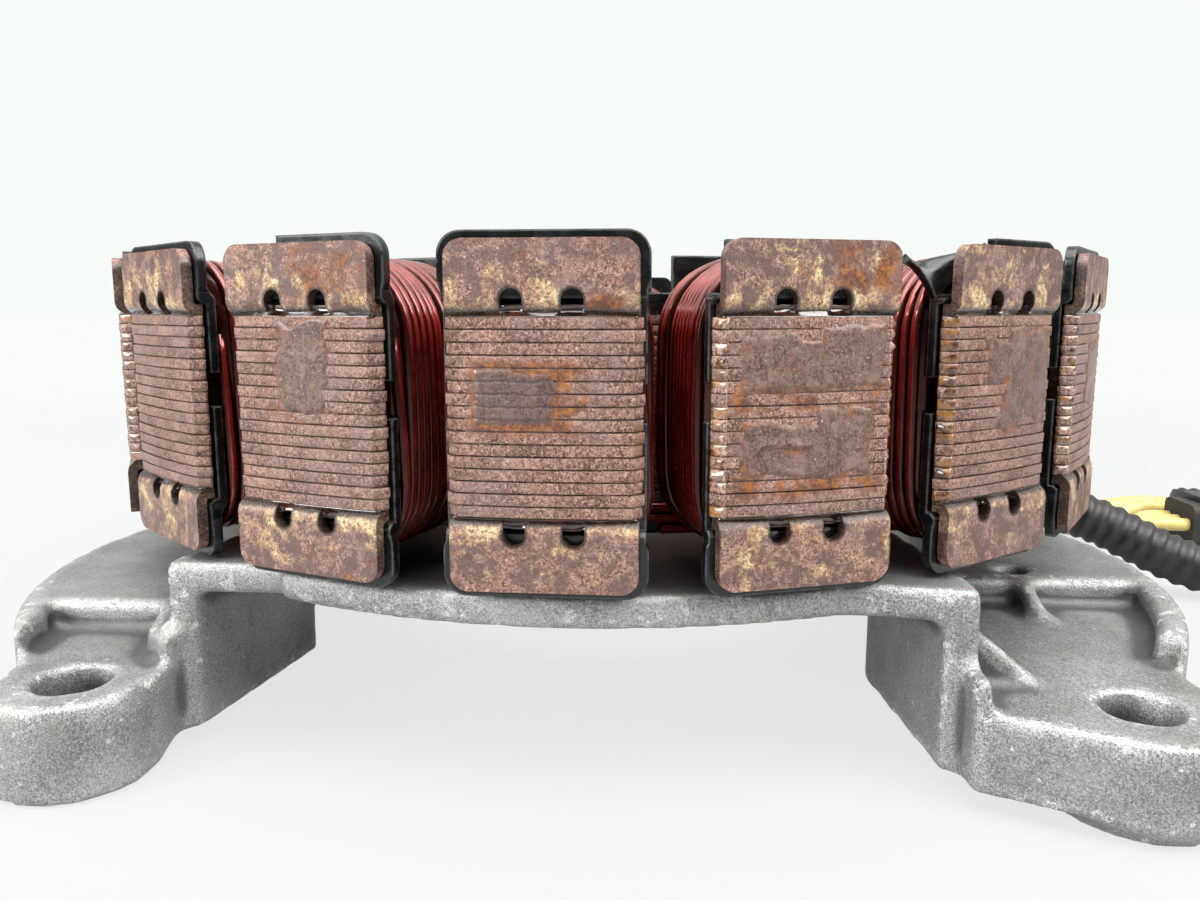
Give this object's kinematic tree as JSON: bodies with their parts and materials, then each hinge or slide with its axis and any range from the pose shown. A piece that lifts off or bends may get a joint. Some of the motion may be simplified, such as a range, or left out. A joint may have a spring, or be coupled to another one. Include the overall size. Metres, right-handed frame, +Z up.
{
  "type": "wound stator",
  "caption": "Multi-pole wound stator of a flywheel alternator: rusted laminated core with bent end tabs, red enamelled coils in black insulators, on a cast aluminium base with mounting lugs.",
  "frame": {"origin": "crank axis, at the top face of the base's seat", "axes": "+Z up along the crank axis, -Y towards the two front lugs, +X to the lead's side"},
  "size_m": [0.1953, 0.1357, 0.0477],
  "materials": {
    "cast_aluminium": "grainy die casting",
    "rusty_steel": "rusted, varnished",
    "black_plastic": "moulded, satin",
    "red_enamel": "glossy enamel on copper wire",
    "zinc": "dull zinc plate",
    "ribbed_sleeve": "ribbed, satin",
    "yellow_insulation": "smooth",
    "seal_rubber": "matte",
    "tinned_brass": "tinned"
  },
  "bodies": {
    "root": {"stator_base": "cast_aluminium", "lower_end_plate": "rusty_steel", "upper_end_plate": "rusty_steel", "lower_insulator": "black_plastic", "upper_insulator": "black_plastic", "jumper_wires": "red_enamel", "core_bolts": "zinc", "core_washers": "zinc", "phase_tails": "yellow_insulation", "lead_clip": "zinc", "clip_screw": "zinc", "lead_sleeve": "ribbed_sleeve", "lead_connector": "black_plastic", "connector_seal": "seal_rubber", "connector_terminals": "tinned_brass", "lamination_01": "rusty_steel", "lamination_02": "rusty_steel", "lamination_03": "rusty_steel", "lamination_04": "rusty_steel", "lamination_05": "rusty_steel", "lamination_06": "rusty_steel", "lamination_07": "rusty_steel", "lamination_08": "rusty_steel", "lamination_09": "rusty_steel", "lamination_10": "rusty_steel", "lamination_11": "rusty_steel", "lamination_12": "rusty_steel", "lamination_13": "rusty_steel", "lamination_14": "rusty_steel", "lamination_15": "rusty_steel", "lamination_16": "rusty_steel", "coil_01": "red_enamel", "coil_02": "red_enamel", "coil_03": "red_enamel", "coil_04": "red_enamel", "coil_05": "red_enamel", "coil_06": "red_enamel", "coil_07": "red_enamel", "coil_08": "red_enamel", "coil_09": "red_enamel", "coil_10": "red_enamel", "coil_11": "red_enamel", "coil_12": "red_enamel", "coil_13": "red_enamel", "coil_14": "red_enamel", "coil_15": "red_enamel", "coil_16": "red_enamel", "coil_17": "red_enamel", "coil_18": "red_enamel", "yellow_lead_1": "yellow_insulation", "yellow_lead_2": "yellow_insulation", "yellow_lead_3": "yellow_insulation"}
  },
  "joints": []
}
